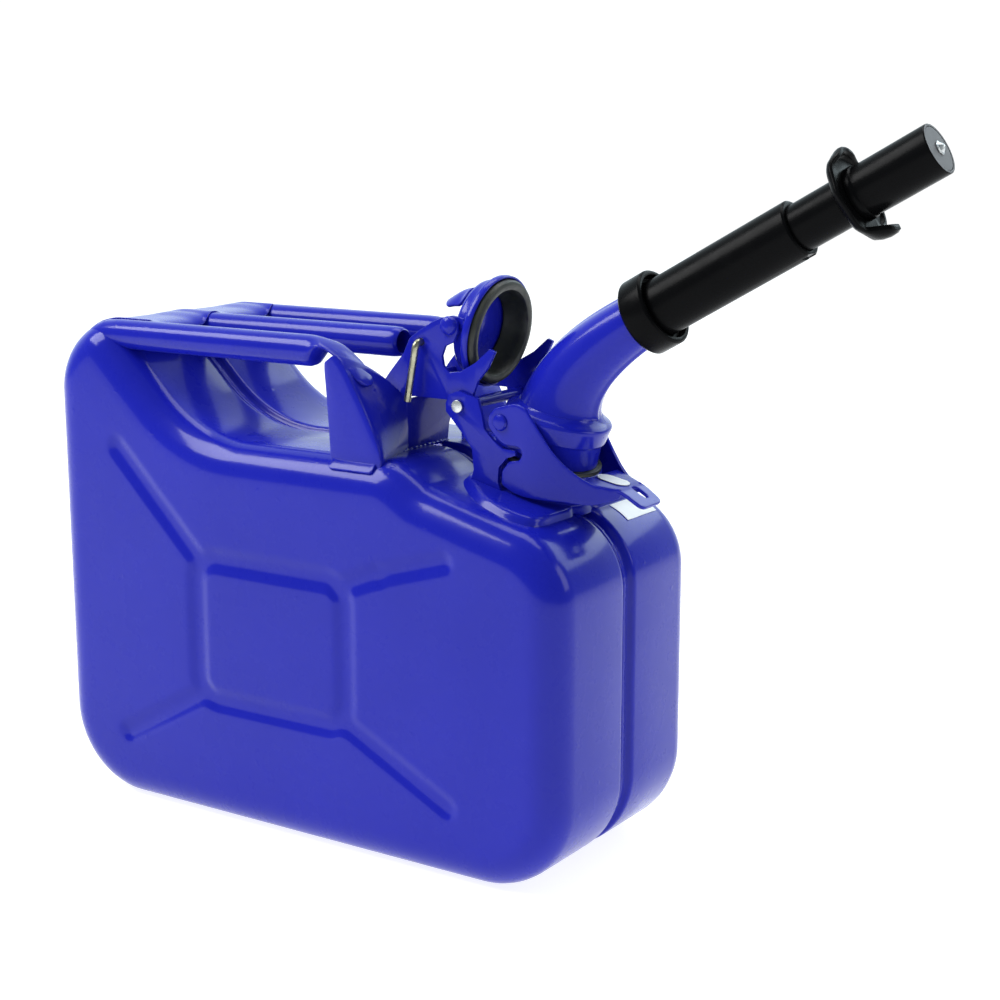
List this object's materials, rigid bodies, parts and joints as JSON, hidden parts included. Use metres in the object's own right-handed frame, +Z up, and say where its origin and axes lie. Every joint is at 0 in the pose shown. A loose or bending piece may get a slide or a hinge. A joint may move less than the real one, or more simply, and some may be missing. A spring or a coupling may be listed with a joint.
{
  "type": "safety gas can",
  "caption": "Pressed-steel fuel can with a three-bar handle, a cam-lever cap folded open, and a clamp-on spout with a self-closing nozzle.",
  "frame": {"origin": "centre of the tank's base, on its seam and on the floor it stands on", "axes": "+X along the tank towards the spout, +Y across it, +Z up"},
  "size_m": [0.5068, 0.142, 0.3905],
  "materials": {
    "blue_enamel": "gloss",
    "black_rubber": "matte",
    "black_plastic": "satin",
    "grey_disc": "matte",
    "zinc_steel": "satin",
    "yellow_zinc": "satin",
    "white_label": "satin"
  },
  "bodies": {
    "can": {"left_shell": "blue_enamel", "right_shell": "blue_enamel", "seam_weld": "blue_enamel", "breather_tube": "zinc_steel", "handle_bar_left": "blue_enamel", "handle_bar_middle": "blue_enamel", "handle_bar_right": "blue_enamel", "rear_bridge": "blue_enamel", "front_bracket": "blue_enamel", "neck_pad": "blue_enamel", "filler_neck": "blue_enamel", "left_lug": "blue_enamel", "right_lug": "blue_enamel", "hinge_pin": "zinc_steel", "spout_gasket": "black_rubber", "spout_flange": "blue_enamel", "spout_tube": "blue_enamel", "spout_air_tube": "zinc_steel", "spout_ferrule": "blue_enamel", "nozzle_gasket": "black_rubber", "collar_nut": "black_plastic", "nozzle_sleeve": "black_plastic", "valve_stem": "zinc_steel", "valve_disc": "grey_disc", "valve_seal": "black_rubber", "stem_nut": "zinc_steel", "return_spring": "zinc_steel", "clamp_rivets": "blue_enamel", "front_label": "white_label"},
    "cap_lever": {"cap_lever": "blue_enamel", "lever_rivets": "blue_enamel"},
    "cap": {"cap_cup": "blue_enamel", "cap_gasket": "black_rubber"},
    "lock_pin": {"lock_pin": "yellow_zinc"},
    "spout_clamp": {"spout_clamp": "blue_enamel", "clamp_label": "white_label"},
    "nozzle": {"push_tube": "black_plastic", "hook_ring": "black_plastic", "tip_tube": "black_plastic"}
  },
  "joints": [
    {"name": "cap_lever_hinge", "type": "hinge", "parent": "can", "child": "cap_lever", "pos_m": [0.0869, 0, 0.2463], "axis": [0, 1, 0], "range_deg": [0, 28]},
    {"name": "cap_pivot", "type": "hinge", "parent": "cap_lever", "child": "cap", "pos_m": [0.0793, 0, 0.2874], "axis": [0, 1, 0], "range_deg": [-4, 4]},
    {"name": "lock_pin_slide", "type": "slide", "parent": "cap_lever", "child": "lock_pin", "axis": [0, -1, 0], "range_m": [0, 0.01]},
    {"name": "spout_clamp_hinge", "type": "hinge", "parent": "can", "child": "spout_clamp", "pos_m": [0.113, 0, 0.24], "axis": [0, -1, 0], "range_deg": [0, 45]},
    {"name": "nozzle_push", "type": "slide", "parent": "can", "child": "nozzle", "axis": [-0.8698, 0, -0.4933], "range_m": [0, 0.012], "stiffness_N_per_m": 500, "springref_m": -0.012, "deforming": ["return_spring"]}
  ]
}
